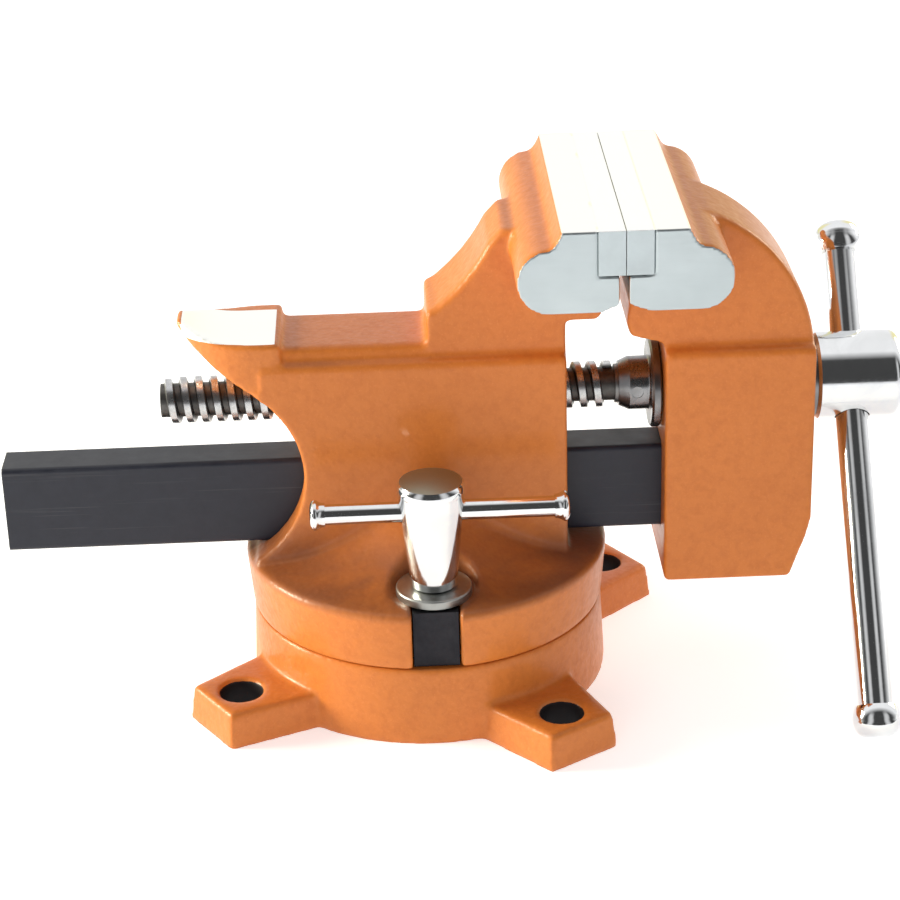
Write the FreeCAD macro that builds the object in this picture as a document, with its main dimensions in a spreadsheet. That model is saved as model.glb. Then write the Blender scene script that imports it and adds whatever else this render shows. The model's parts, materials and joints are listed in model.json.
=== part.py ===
"""Bench vise with a swivel base, a flat slide bar under the screw and an anvil horn.

Millimetres. Z is up and Z = 0 is the underside of the base. The origin is on the swivel axis.
X runs along the screw: the handle is at +X, the horn at -X. The vise stands with its jaws shut,
both lock nuts seated and the handle leaning forward.
"""
import FreeCAD, Part
import math
import os

import Sketcher

Vector = FreeCAD.Vector
Rotation = FreeCAD.Rotation
Placement = FreeCAD.Placement

DOC = FreeCAD.newDocument("bench_vise")
SHEET = DOC.addObject("Spreadsheet::Sheet", "Sizes")

SIZES = [
    # swivel base
    ("base_foot_radius", 60.4, "outer radius of the base drum at the bench"),
    ("base_top_radius", 59.2, "outer radius of the base drum at the joint line"),
    ("base_height", 26.6, "bench to joint line"),
    ("hub_bore_radius", 16.05, "bore for the swivel spigot"),
    ("hub_floor", 14.6, "top of the web under the spigot"),
    ("hub_web_bottom", 11.0, "underside of that web"),
    ("pivot_hole_radius", 6.6, "clearance hole for the pivot bolt"),
    ("slot_ring_radius", 44.0, "centre circle of the T-slot"),
    ("slot_half_width", 6.5, "half width of the T-slot throat"),
    ("slot_room_half", 11.0, "half width of the T-slot chamber"),
    ("slot_floor", 7.0, "chamber floor"),
    ("slot_lip_bottom", 18.6, "underside of the T-slot lips"),
    ("lug_radius", 75.5, "bench bolt holes to the swivel axis"),
    ("lug_tip", 88.0, "lug tip to the swivel axis at the bench"),
    ("lug_root", 55.5, "inner end of the lug inside the drum wall"),
    ("lug_tip_half", 13.4, "half width of the tip at the bench"),
    ("lug_root_half", 19.0, "half width of the root at the bench"),
    ("lug_height", 12.2, "lug thickness"),
    ("lug_draft", 6.0, "draft angle of the lug sides"),
    ("lug_turn", -57.0, "bearing of the first lug"),
    ("bench_hole", 14.0, "diameter of the bench bolt holes"),
    # swivelling body
    ("plate_bottom", 26.65, "underside of the swivel plate"),
    ("plate_low_radius", 59.4, "swivel plate at the joint line"),
    ("plate_top_radius", 61.0, "swivel plate at the rim"),
    ("plate_top", 47.2, "washer seats on the swivel plate"),
    ("spigot_radius", 16.0, "spigot under the plate"),
    ("spigot_bottom", 15.0, "underside of the spigot"),
    ("box_width", 40.0, "width of both castings along Y"),
    ("web_width", 32.0, "width of the narrower upper part"),
    ("horn_width", 38.0, "width of the anvil"),
    ("box_top", 118.0, "shoulder line"),
    ("box_right", 47.0, "face toward the moving jaw"),
    ("deck_top", 122.6, "deck between anvil and neck"),
    ("anvil_top", 125.3, "anvil face"),
    ("anvil_right", -45.0, "step from anvil to deck"),
    ("seat_radius", 14.5, "spot face under a lock washer"),
    ("notch_half", 7.8, "half width of the lock bolt notch"),
    ("notch_depth", 36.8, "inner end of the notch"),
    # jaws
    ("jaw_plane", 63.0, "where the jaws meet"),
    ("jaw_width", 100.0, "jaw width along Y"),
    ("jaw_top", 171.0, "top of the jaws"),
    ("jaw_bottom", 144.2, "underside of the jaw blocks"),
    ("jaw_flat", 19.5, "depth of the machined top from the jaw plane"),
    ("jaw_round", 10.7, "radius of the rolled back of a jaw block"),
    ("jaw_round_in", 23.0, "jaw plane to the centre of that round"),
    ("jaw_relief", 1.8, "set-back of the fixed jaw below its plate"),
    ("front_relief", 0.7, "set-back of the moving jaw below its plate"),
    ("plate_thick", 8.6, "thickness of a jaw plate with its gap"),
    ("plate_low", 156.5, "underside of a jaw plate"),
    ("screw_spacing", 50.0, "spacing of the jaw plate screws"),
    ("screw_height", 163.6, "height of the jaw plate screws"),
    ("tapped_hole", 6.04, "hole for the jaw plate screws"),
    # slide bar and screw
    ("bar_thick", 16.0, "slide bar along Y"),
    ("bar_tall", 30.0, "slide bar along Z"),
    ("bar_height", 65.0, "centre line of the slide bar"),
    ("bar_start", -140.0, "rear end of the slide bar"),
    ("bar_end", 118.0, "front end inside the moving jaw"),
    ("bar_play", 0.4, "total play of the bar in the body"),
    ("screw_axis", 99.6, "centre line of the screw"),
    ("screw_start", -86.0, "rear end of the screw"),
    ("thread_end", 64.0, "end of the threaded length"),
    ("thread_pitch", 5.0, "pitch, right hand"),
    ("crest_radius", 7.7, "thread crest"),
    ("core_radius", 5.6, "thread root"),
    ("screw_tail", 127.0, "front end of the screw inside the hub"),
    ("screw_clear", 9.0, "radius of the screw passage in the body"),
    ("nut_radius", 14.0, "screw nut"),
    ("nut_start", 19.2, "rear face of the screw nut"),
    ("nut_end", 46.8, "front face of the screw nut"),
    ("collar_start", 65.2, "rear end of the retaining collar"),
    ("collar_radius", 8.9, "retaining collar"),
    ("flange_start", 75.4, "rear face of the collar flange"),
    ("flange_radius", 15.0, "collar flange against the moving jaw"),
    ("front_left", 79.0, "moving jaw face toward the body"),
    ("front_right", 128.0, "moving jaw face toward the handle"),
    ("front_bottom", 35.0, "underside of the moving jaw"),
    ("hub_shank_radius", 9.45, "hub shank in the moving jaw"),
    ("hub_radius", 14.5, "head that carries the handle"),
    ("hub_start", 130.2, "inner face of that head"),
    ("hub_end", 158.5, "outer face of that head"),
    ("handle_spot", 142.4, "handle hole along X"),
    ("handle_lean", 37.5, "lean of the handle toward the front"),
    ("handle_radius", 5.5, "handle rod"),
    ("handle_hole", 5.8, "handle hole radius"),
    ("handle_up", 47.5, "hub to the centre of the upper knob"),
    ("handle_down", 116.0, "hub to the centre of the lower knob"),
    ("knob_radius", 7.7, "handle knob"),
    ("knob_long", 10.4, "handle knob along the rod"),
    # swivel locks
    ("lock_shift", 1.4, "side offset of each lock, opposite ways front and rear"),
    ("lock_top", 88.2, "top of a lock nut"),
    ("lock_bottom", 50.3, "underside of a lock nut"),
    ("lock_top_radius", 10.9, "lock nut near the top"),
    ("lock_low_radius", 7.6, "lock nut at the washer"),
    ("lock_thread", 6.0, "radius of the lock bolt"),
    ("lock_bar_height", 76.6, "lock bar centre line"),
    ("lock_bar_radius", 3.35, "lock bar rod"),
    ("lock_bar_left", -36.5, "lock axis to the left end piece of the bar"),
    ("lock_bar_right", 41.8, "lock axis to the right end piece of the bar"),
]

for row, (alias, value, note) in enumerate(SIZES, start=1):
    SHEET.set("A%d" % row, alias)
    SHEET.set("B%d" % row, str(value))
    SHEET.set("C%d" % row, note)
    SHEET.setAlias("B%d" % row, alias)
DOC.recompute()


def size(alias):
    """One driving dimension from the sheet."""
    return float(getattr(SHEET, alias))


def bind(target, prop, expression):
    """Drive a property from the sheet; words of the expression that are aliases get the prefix."""
    words = expression.split(" ")
    names = [entry[0] for entry in SIZES]
    linked = ["Sizes." + word if word in names else word for word in words]
    target.setExpression(prop, " ".join(linked))


# ---------------------------------------------------------------- modelling helpers


def new_body(label):
    body = DOC.addObject("PartDesign::Body", label)
    body.Label = label
    body.AllowCompound = True
    DOC.recompute()
    return body


def new_sketch(body, plane, offset=0.0, turn=0.0):
    """A sketch on an origin plane, moved along and turned about the plane's normal."""
    sketch = body.newObject("Sketcher::SketchObject", "Profile")
    origin = [item for item in body.Origin.OriginFeatures if item.Role == plane + "_Plane"][0]
    sketch.AttachmentSupport = [(origin, "")]
    sketch.MapMode = "FlatFace"
    sketch.AttachmentOffset = Placement(Vector(0, 0, offset), Rotation(Vector(0, 0, 1), turn))
    return sketch


def outline(sketch, start, *steps):
    """A closed profile. A step is an end point, or a (through, end) pair for an arc."""
    here = Vector(start[0], start[1], 0)
    first = here
    ends = []
    for step in list(steps) + [start]:
        if isinstance(step[0], tuple):
            through = Vector(step[0][0], step[0][1], 0)
            there = Vector(step[1][0], step[1][1], 0)
            edge = Part.Arc(here, through, there)
        else:
            there = Vector(step[0], step[1], 0)
            if (there - here).Length < 1e-6:
                continue
            edge = Part.LineSegment(here, there)
        index = sketch.addGeometry(edge)
        begins = (sketch.getPoint(index, 1) - here).Length < 1e-6
        ends.append((index, 1 if begins else 2, 2 if begins else 1))
        here = there
    for number, (index, head, tail) in enumerate(ends):
        after = ends[(number + 1) % len(ends)]
        sketch.addConstraint(Sketcher.Constraint("Coincident", index, tail, after[0], after[1]))
    for index, head, tail in ends:
        sketch.addConstraint(Sketcher.Constraint("Block", index))
    return sketch


def circle(sketch, x, y, radius):
    """A circle whose radius is a number, or an alias that drives it."""
    value = size(radius) if isinstance(radius, str) else radius
    index = sketch.addGeometry(Part.Circle(Vector(x, y, 0), Vector(0, 0, 1), value))
    number = sketch.addConstraint(Sketcher.Constraint("Radius", index, value))
    if isinstance(radius, str):
        bind(sketch, "Constraints[%d]" % number, radius)
    if x or y:
        sketch.addConstraint(Sketcher.Constraint("DistanceX", index, 3, x))
        sketch.addConstraint(Sketcher.Constraint("DistanceY", index, 3, y))
    else:
        sketch.addConstraint(Sketcher.Constraint("Coincident", index, 3, -1, 1))
    return sketch


def rectangle(sketch, left, bottom, right, top):
    return outline(sketch, (left, bottom), (right, bottom), (right, top), (left, top))


def extrude(body, kind, sketch, length, symmetric=False, reverse=False):
    """Pad or Pocket with a length that is a number or an expression of sheet aliases."""
    feature = body.newObject("PartDesign::" + kind, kind)
    feature.Profile = sketch
    if isinstance(length, str):
        bind(feature, "Length", length)
    else:
        feature.Length = length
    if symmetric:
        feature.SideType = "Symmetric"
    feature.Reversed = reverse
    sketch.Visibility = False
    DOC.recompute()
    return feature


def pad(body, sketch, length, symmetric=False, reverse=False):
    return extrude(body, "Pad", sketch, length, symmetric, reverse)


def pocket(body, sketch, length, symmetric=False, reverse=False):
    """Cut, and make sure that material really went away."""
    before = body.Shape.Volume
    feature = extrude(body, "Pocket", sketch, length, symmetric, reverse)
    if body.Shape.Volume >= before - 0.01:
        raise RuntimeError("pocket removed nothing in " + body.Label)
    return feature


def revolve(body, kind, sketch, axis):
    """Full turn about an axis of the sketch: V_Axis or H_Axis."""
    feature = body.newObject("PartDesign::" + kind, kind)
    feature.Profile = sketch
    feature.ReferenceAxis = (sketch, [axis])
    feature.Angle = 360
    sketch.Visibility = False
    DOC.recompute()
    return feature


def fillet(body, radius, wanted, kind="Fillet"):
    """Round (or chamfer) every edge of the tip shape that the test accepts."""
    base = body.Tip
    names = ["Edge%d" % (number + 1) for number, edge in enumerate(base.Shape.Edges) if wanted(edge)]
    if not names:
        raise RuntimeError("no edge to round in " + body.Label)
    feature = body.newObject("PartDesign::" + kind, kind)
    feature.Base = (base, names)
    if kind == "Fillet":
        feature.Radius = radius
    else:
        feature.Size = radius
    DOC.recompute()
    if feature.Shape.isNull() or not feature.Shape.isValid() or "Invalid" in feature.State:
        raise RuntimeError("bad rounding in " + body.Label)
    return feature


def lies(edge, axis, value, slack=0.01):
    """True when the whole edge lies in the plane where the axis has this value."""
    box = edge.BoundBox
    low = getattr(box, axis + "Min")
    high = getattr(box, axis + "Max")
    return abs(low - value) < slack and abs(high - value) < slack


def within(edge, x=None, y=None, z=None):
    """True when the edge's middle lies inside the given ranges."""
    box = edge.BoundBox
    for given, centre in ((x, box.Center.x), (y, box.Center.y), (z, box.Center.z)):
        if given and not given[0] <= centre <= given[1]:
            return False
    return True


def pattern(body, kind, originals, direction, count, length):
    """Repeat features along or about an axis given as (object, [name])."""
    feature = body.newObject("PartDesign::" + kind, kind)
    feature.Originals = originals
    if kind == "PolarPattern":
        feature.Axis = direction
        feature.Angle = length
    else:
        feature.Direction = direction
        feature.Length = length
    feature.Occurrences = count
    body.Tip = feature
    DOC.recompute()
    return feature


def axis_of(body, letter):
    return [item for item in body.Origin.OriginFeatures if item.Role == letter + "_Axis"][0]


# ---------------------------------------------------------------- swivel base


def swivel_base():
    body = new_body("swivel_base")
    ring = size("slot_ring_radius")
    throat = size("slot_half_width")
    room = size("slot_room_half")
    top = size("base_height")
    lip = size("slot_lip_bottom")
    floor = size("slot_floor")
    foot = size("base_foot_radius")
    web = size("hub_web_bottom")
    bore = size("hub_bore_radius")
    pivot = size("pivot_hole_radius")
    section = outline(
        new_sketch(body, "XZ"),
        (bore, 0), (foot, 0), (size("base_top_radius"), top - 0.8),
        (size("base_top_radius") - 0.8, top), (ring + throat, top), (ring + throat, lip),
        (ring + room, lip), (ring + room, floor), (ring - room, floor), (ring - room, lip),
        (ring - throat, lip), (ring - throat, top), (bore, top), (bore, size("hub_floor")),
        (pivot, size("hub_floor")), (pivot, web), (bore, web))
    revolve(body, "Revolution", section, "V_Axis")

    root, tip = size("lug_root"), size("lug_tip")
    wide, narrow = size("lug_root_half"), size("lug_tip_half")
    plan = outline(new_sketch(body, "XY"), (root, -wide), (tip, -narrow), (tip, narrow), (root, wide))
    lug = pad(body, plan, "lug_height")
    bind(lug, "TaperAngle", "0 - lug_draft")
    hole = circle(new_sketch(body, "XY"), size("lug_radius"), 0, size("bench_hole") / 2)
    cut = pocket(body, hole, 20, reverse=True)
    pattern(body, "PolarPattern", [lug, cut], (axis_of(body, "Z"), [""]), 4, 360)

    port = rectangle(new_sketch(body, "XY"), ring - 10.5, -10.5, ring + 10.5, 10.5)
    pocket(body, port, "slot_floor", reverse=True)
    tops = size("lug_height")
    fillet(body, 1.2, lambda edge: lies(edge, "Z", tops) and edge.Length < 60
           and edge.BoundBox.Center.Length > 66)
    body.Placement = Placement(Vector(0, 0, 0), Rotation(Vector(0, 0, 1), size("lug_turn")))
    return body


def pivot_bolt():
    """Hexagon bolt from below, with the shank screwed into the swivel plate."""
    body = new_body("pivot_bolt")
    across = 19.0
    corner = across / math.sqrt(3)
    corners = [(corner * math.cos(math.radians(60 * k)), corner * math.sin(math.radians(60 * k)))
               for k in range(6)]
    pad(body, outline(new_sketch(body, "XY", 1.2), *corners), 7.4)
    pad(body, circle(new_sketch(body, "XY", 8.6), 0, 0, 6.0), 31.4)
    fillet(body, 1.0, lambda edge: lies(edge, "Z", 40.0), "Chamfer")
    return body


def pivot_washer():
    body = new_body("pivot_washer")
    plan = circle(new_sketch(body, "XY", 8.62), 0, 0, 13.0)
    circle(plan, 0, 0, 6.5)
    pad(body, plan, 2.36)
    return body


# ---------------------------------------------------------------- jaw blocks and plates


def jaw_block(body, side):
    """Rolled jaw block across the vise; side is -1 on the fixed jaw and +1 on the moving one."""
    plane = size("jaw_plane")
    flat, centre, radius = size("jaw_flat"), size("jaw_round_in"), size("jaw_round")
    top, low, mid = size("jaw_top"), size("jaw_bottom"), size("jaw_bottom") + size("jaw_round")
    step, seat = size("plate_thick"), size("plate_low")
    relief = size("jaw_relief") if side < 0 else size("front_relief")

    def at(distance, height):
        return (plane + side * distance, height)

    lean = math.radians(85)
    crest = at(centre + radius * math.cos(lean), mid + radius * math.sin(lean))
    block = outline(
        new_sketch(body, "XZ"),
        at(step, top), at(flat, top), at(flat + 2.4, top - 4.1), (at(flat + 3.1, top - 5.05), crest),
        (at(centre + radius, mid), at(centre, low)),
        at(8, low), at(relief, low + 2.6), at(relief, seat), at(step, seat))
    pad(body, block, "jaw_width", symmetric=True)

    def flare(end):
        """Curved bracket that carries the overhanging end of the block."""
        near, far = size("web_width") / 2 - 1, size("web_width") / 2 + 18
        bracket = outline(
            new_sketch(body, "YZ", min(plane + side * 6, plane + side * 27)),
            (end * near, low - 13), (end * (near + 1), low - 13),
            ((end * (near + 6), low - 4.5), (end * far, low + 1)), (end * near, low + 1))
        pad(body, bracket, 21)

    flare(-1)
    flare(1)
    return body


def plate_holes(body, side):
    """Tapped holes behind the jaw plate."""
    face = size("jaw_plane") + side * size("plate_thick")
    holes = new_sketch(body, "YZ", face)
    for end in (-1, 1):
        circle(holes, end * size("screw_spacing") / 2, size("screw_height"), size("tapped_hole") / 2)
    pocket(body, holes, 11.2, reverse=(side > 0))


def jaw_plate(label, side):
    """Hardened plate with crossed grooves on the gripping face and two countersunk holes."""
    body = new_body(label)
    plane = size("jaw_plane")
    face = plane + side * 0.12
    back = plane + side * (size("plate_thick") - 0.05)
    low, top = size("plate_low") + 0.05, size("jaw_top")
    half = size("jaw_width") / 2
    start = min(face, back)
    slab = rectangle(new_sketch(body, "YZ", start), -half, low, half, top)
    pad(body, slab, abs(back - face))

    groove = outline(
        new_sketch(body, "XY", low + 1.2),
        (face - side * 0.2, -0.85 - half + 5), (face + side * 0.55, -half + 5),
        (face - side * 0.2, 0.85 - half + 5))
    upright = pocket(body, groove, 11.4, reverse=True)
    pattern(body, "LinearPattern", [upright], (axis_of(body, "Y"), [""]), 37, 2 * half - 10)
    level = outline(
        new_sketch(body, "XZ"),
        (face - side * 0.2, low + 2.15), (face + side * 0.55, low + 3.0), (face - side * 0.2, low + 3.85))
    row = pocket(body, level, "jaw_width - 8", symmetric=True)
    pattern(body, "LinearPattern", [row], (axis_of(body, "Z"), [""]), 4, 8.7)

    mouth = new_sketch(body, "YZ", face)
    through = new_sketch(body, "YZ", face)
    for end in (-1, 1):
        circle(mouth, end * size("screw_spacing") / 2, size("screw_height"), 5.8)
        circle(through, end * size("screw_spacing") / 2, size("screw_height"), 3.3)
    pocket(body, mouth, 3.6, reverse=(side > 0))
    pocket(body, through, 12, reverse=(side > 0))
    return body


def plate_screws(label, side):
    """Two countersunk socket screws."""
    body = new_body(label)
    head = size("jaw_plane") + side * 0.9
    seat = head + side * 2.8
    tip = head + side * 17.6
    axis = size("screw_height")
    for end in (-1, 1):
        spot = end * size("screw_spacing") / 2
        pad(body, circle(new_sketch(body, "YZ", min(head, seat)), spot, axis, 5.5), 2.8)
        pad(body, circle(new_sketch(body, "YZ", min(seat, tip)), spot, axis, 3.0), abs(tip - seat))
        socket = new_sketch(body, "YZ", head)
        points = [(spot + 2.3 * math.cos(math.radians(60 * k)), axis + 2.3 * math.sin(math.radians(60 * k)))
                  for k in range(6)]
        outline(socket, *points)
        pocket(body, socket, 2.0, reverse=(side > 0))
    return body


# ---------------------------------------------------------------- fixed jaw casting


def lock_spot(end):
    """Plan position of a swivel lock; end is -1 in front and +1 at the back."""
    return -end * size("lock_shift"), end * size("slot_ring_radius")


def fixed_jaw_casting():
    body = new_body("fixed_jaw_casting")
    low, rim = size("plate_bottom"), size("plate_top_radius")
    spigot, spigot_low = size("spigot_radius"), size("spigot_bottom")
    bell = outline(
        new_sketch(body, "XZ"),
        (0, spigot_low), (spigot, spigot_low), (spigot, low), (size("plate_low_radius") - 0.8, low),
        (size("plate_low_radius"), low + 0.8), (rim, 45.4), ((rim - 0.55, 46.7), (rim - 1.8, 47.3)),
        (50, 48.4), ((34, 55.0), (21, 68)), (0, 68))
    revolve(body, "Revolution", bell, "V_Axis")

    right, shoulder = size("box_right"), size("box_top")
    root = math.sqrt(0.5)
    box = outline(
        new_sketch(body, "XZ"),
        (-57, 47), (right, 47), (right, shoulder), (-51, shoulder),
        ((-51 - 4.6 * root, shoulder - 4.6 + 4.6 * root), (-55.6, shoulder - 4.6)),
        (-55.6, 108.2), ((-39.6, 78.5), (-57, 48.6)))
    pad(body, box, "box_width", symmetric=True)
    fillet(body, 2.4, lambda edge: lies(edge, "Z", shoulder) and edge.Length > 60)

    deck = size("deck_top")
    web = outline(
        new_sketch(body, "XZ"),
        (-50, 112), (-50, deck), (2, deck), (2, 133.2), (5, 134.6),
        ((12.4, 141.4), (22.4, 155.6)), (27, 160.5), (45, 160.5), (45, 146), (58.8, 146),
        (58.8, 130.6), (57, 128.8), (right, 128.8), (right, 112))
    pad(body, web, "web_width", symmetric=True)
    half = size("web_width") / 2
    fillet(body, 2.2, lambda edge: within(edge, x=(-50, 1), z=(deck - 0.1, deck + 0.1))
           and abs(abs(edge.BoundBox.Center.y) - half) < 0.01)
    fillet(body, 1.4, lambda edge: within(edge, x=(2.1, 26), z=(133, 159))
           and abs(abs(edge.BoundBox.Center.y) - half) < 0.01)
    jaw_block(body, -1)

    anvil, step = size("anvil_top"), size("anvil_right")
    horn = outline(
        new_sketch(body, "XZ"),
        (step, 112), (step, anvil), (-58, anvil), ((-69, 126.6), (-77.4, 129.8)),
        ((-78.9, 129.4), (-79.0, 127.8)), ((-69.5, 118.6), (-56.4, 108.6)))
    pad(body, horn, "horn_width", symmetric=True)
    for end in (-1, 1):
        cheek = outline(
            new_sketch(body, "XY", 140),
            (-52, end * 20.5), (-52, end * 19.01), ((-68, end * 14.6), (-79.5, end * 3.4)),
            (-86, end * 3.4), (-86, end * 20.5))
        pocket(body, cheek, 31)
    fillet(body, 0.9, lambda edge: within(edge, x=(-80, step + 1), z=(anvil - 0.2, 130))
           and edge.Length > 12)

    notch, inner = size("notch_half"), size("notch_depth")
    for end in (-1, 1):
        spot, ring = lock_spot(end)
        slot = rectangle(new_sketch(body, "XY", 22), spot - notch, end * inner, spot + notch, end * 66)
        pocket(body, slot, 32, reverse=True)
        seat = circle(new_sketch(body, "XY", 70), spot, ring, "seat_radius")
        pocket(body, seat, 70 - size("plate_top"))

    slack = size("bar_play") / 2
    thick, tall, height = size("bar_thick") / 2, size("bar_tall") / 2, size("bar_height")
    channel = rectangle(new_sketch(body, "YZ"), -thick - slack, height - tall - slack,
                        thick + slack, height + tall + slack)
    pocket(body, channel, 200, symmetric=True)
    axis = size("screw_axis")
    pocket(body, circle(new_sketch(body, "YZ"), 0, axis, "screw_clear"), 200, symmetric=True)
    pocket(body, circle(new_sketch(body, "YZ", right), 0, axis, size("nut_radius") + 0.03),
           right - size("nut_start") + 0.05)
    pocket(body, circle(new_sketch(body, "XZ", -21), 33, axis, 3.03), 10, reverse=True)
    pocket(body, circle(new_sketch(body, "XY", spigot_low), 0, 0, 6.03), 27, reverse=True)
    plate_holes(body, -1)
    return body


def spindle_nut():
    """Bronze nut pressed into the body from the front."""
    body = new_body("spindle_nut")
    start, end = size("nut_start"), size("nut_end")
    plan = circle(new_sketch(body, "YZ", start), 0, size("screw_axis"), "nut_radius")
    circle(plan, 0, size("screw_axis"), size("crest_radius") + 0.3)
    pad(body, plan, end - start)
    fillet(body, 0.8, lambda edge: lies(edge, "X", end), "Chamfer")
    pocket(body, circle(new_sketch(body, "XZ", -15), 33, size("screw_axis"), 3.1), 3.5, reverse=True)
    return body


def nut_set_screw():
    """Grub screw from the back that stops the nut turning."""
    body = new_body("nut_set_screw")
    axis = size("screw_axis")
    pad(body, circle(new_sketch(body, "XZ", -19.4), 33, axis, 3.0), 7.6)
    points = [(33 + 1.7 * math.cos(math.radians(60 * k)), axis + 1.7 * math.sin(math.radians(60 * k)))
              for k in range(6)]
    pocket(body, outline(new_sketch(body, "XZ", -19.4), *points), 2.5, reverse=True)
    return body


# ---------------------------------------------------------------- swivel locks


def lock_bolt(label, end):
    """T-bolt: head in the base ring, flat neck in the plate notch, round thread above."""
    body = new_body(label)
    spot, ring = lock_spot(end)
    pad(body, rectangle(new_sketch(body, "XY", 10.4), spot - 9, ring - 9.6, spot + 9, ring + 9.6), 7.9)
    pad(body, circle(new_sketch(body, "XY", 18.3), spot, ring, "lock_thread"), 50.7)
    near, far = end * 38.0, end * 57.0
    pad(body, rectangle(new_sketch(body, "XY", 27.2), spot - 7.4, near, spot + 7.4, far), 19.4)
    fillet(body, 1.0, lambda edge: lies(edge, "Z", 69.0), "Chamfer")
    return body


def lock_washer(label, end):
    body = new_body(label)
    spot, ring = lock_spot(end)
    plan = circle(new_sketch(body, "XY", size("plate_top") + 0.02), spot, ring, 12.4)
    circle(plan, spot, ring, size("lock_thread") + 0.3)
    pad(body, plan, 2.9)
    top = size("plate_top") + 2.92
    fillet(body, 0.7, lambda edge: lies(edge, "Z", top) and edge.Length > 60)
    return body


def lock_nut(label, end):
    """Tall tapered nut with a crowned top and a cross hole for its bar."""
    body = new_body(label)
    low, top = size("lock_bottom"), size("lock_top")
    wide, slim = size("lock_top_radius"), size("lock_low_radius")
    bore = size("lock_thread") + 0.05
    section = outline(
        new_sketch(body, "XZ"),
        (bore, low), (slim - 0.6, low), (slim, low + 0.6), (wide - 0.1, top - 4.8),
        ((wide, top - 2.8), (wide - 0.8, top - 1.1)), ((wide / 2, top - 0.3), (1.5, top)), (0, top),
        (0, 71.0), (bore, 71.0))
    revolve(body, "Revolution", section, "V_Axis")
    hole = circle(new_sketch(body, "YZ"), 0, size("lock_bar_height"), size("lock_bar_radius") + 0.25)
    pocket(body, hole, 40, symmetric=True)
    spot, ring = lock_spot(end)
    body.Placement = Placement(Vector(spot, ring, 0), Rotation())
    return body


def lock_bar(label, end):
    """Round bar that slides through a lock nut; its ends sit inside the end pieces."""
    body = new_body(label)
    spot, ring = lock_spot(end)
    left, right = size("lock_bar_left"), size("lock_bar_right")
    rod = circle(new_sketch(body, "YZ", spot + left - 0.9), ring, size("lock_bar_height"), "lock_bar_radius")
    pad(body, rod, right - left + 1.8)
    return body


def lock_bar_knobs(label, end):
    """Two flared end pieces pressed on the bar."""
    body = new_body(label)
    long, wide = 4.8, 4.9
    inner = size("lock_bar_radius") + 0.02
    for spot, way in ((size("lock_bar_left"), -1), (size("lock_bar_right"), 1)):
        back, front = spot - way * long / 2, spot + way * long / 2
        floor = spot + way * 0.95
        section = outline(
            new_sketch(body, "XZ"),
            (back, inner), (back, inner + 0.55),
            ((back + way * 1.4, inner + 0.75), (back + way * 2.5, wide - 0.2)),
            ((back + way * 3.3, wide), (back + way * 4.1, wide - 0.4)),
            ((back + way * 4.6, wide - 1.2), (front, 2.6)), (front, 0), (floor, 0), (floor, inner))
        revolve(body, "Revolution", section, "H_Axis")
    spot, ring = lock_spot(end)
    body.Placement = Placement(Vector(spot, ring, size("lock_bar_height")), Rotation())
    return body


# ---------------------------------------------------------------- moving jaw


def moving_jaw_casting():
    body = new_body("moving_jaw_casting")
    left, right = size("front_left"), size("front_right")
    low, shoulder = size("front_bottom"), size("box_top")
    box = outline(
        new_sketch(body, "XZ"),
        (left, shoulder), (left, low + 1.2), (left + 1.2, low), (right - 8, low),
        ((right - 6.9, low + 0.3), (right - 6.2, low + 1.2)), (right - 1.4, 50), (right, 56),
        (right, shoulder))
    pad(body, box, "box_width", symmetric=True)
    fillet(body, 2.4, lambda edge: lies(edge, "Z", shoulder) and edge.Length > 40)
    web = outline(
        new_sketch(body, "XZ"),
        (left, 112), (left, shoulder + 1.4), (72.5, 121.2), (67.8, 122.6), (66.6, 127.2), (67.4, 132),
        (67.4, 150), (80, 162), (92, 164.4), ((120.4, 140.6), (right, 116)), (right, 112))
    pad(body, web, "web_width", symmetric=True)
    jaw_block(body, 1)
    half = size("web_width") / 2
    fillet(body, 1.4, lambda edge: within(edge, x=(94, 127), z=(118.2, 162))
           and abs(abs(edge.BoundBox.Center.y) - half) < 0.01)

    thick, tall, height = size("bar_thick") / 2, size("bar_tall") / 2, size("bar_height")
    seat = rectangle(new_sketch(body, "YZ", left), -thick - 0.03, height - tall - 0.03,
                     thick + 0.03, height + tall + 0.03)
    pocket(body, seat, size("bar_end") - left + 0.05, reverse=True)
    bore = circle(new_sketch(body, "YZ", left), 0, size("screw_axis"), size("hub_shank_radius") + 0.05)
    pocket(body, bore, 60, reverse=True)
    pins = new_sketch(body, "XY", low)
    for spot in (91, 109):
        circle(pins, spot, 0, 3.04)
    pocket(body, pins, 17, reverse=True)
    plate_holes(body, 1)
    return body


def slide_bar():
    body = new_body("slide_bar")
    thick, tall, height = size("bar_thick") / 2, size("bar_tall") / 2, size("bar_height")
    section = rectangle(new_sketch(body, "YZ", size("bar_start")),
                        -thick, height - tall, thick, height + tall)
    pad(body, section, "bar_end - bar_start")
    fillet(body, 1.6, lambda edge: edge.Length > 200)
    pins = new_sketch(body, "XY", height - tall - 1)
    for spot in (91, 109):
        circle(pins, spot, 0, 3.04)
    pocket(body, pins, 22.5, reverse=True)
    return body


def slide_bar_pins():
    """Two dowels from below that hold the bar in the moving jaw."""
    body = new_body("slide_bar_pins")
    plan = new_sketch(body, "XY", size("front_bottom") + 1.0)
    for spot in (91, 109):
        circle(plan, spot, 0, 3.0)
    pad(body, plan, 35)
    return body


# ---------------------------------------------------------------- screw and handle


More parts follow.
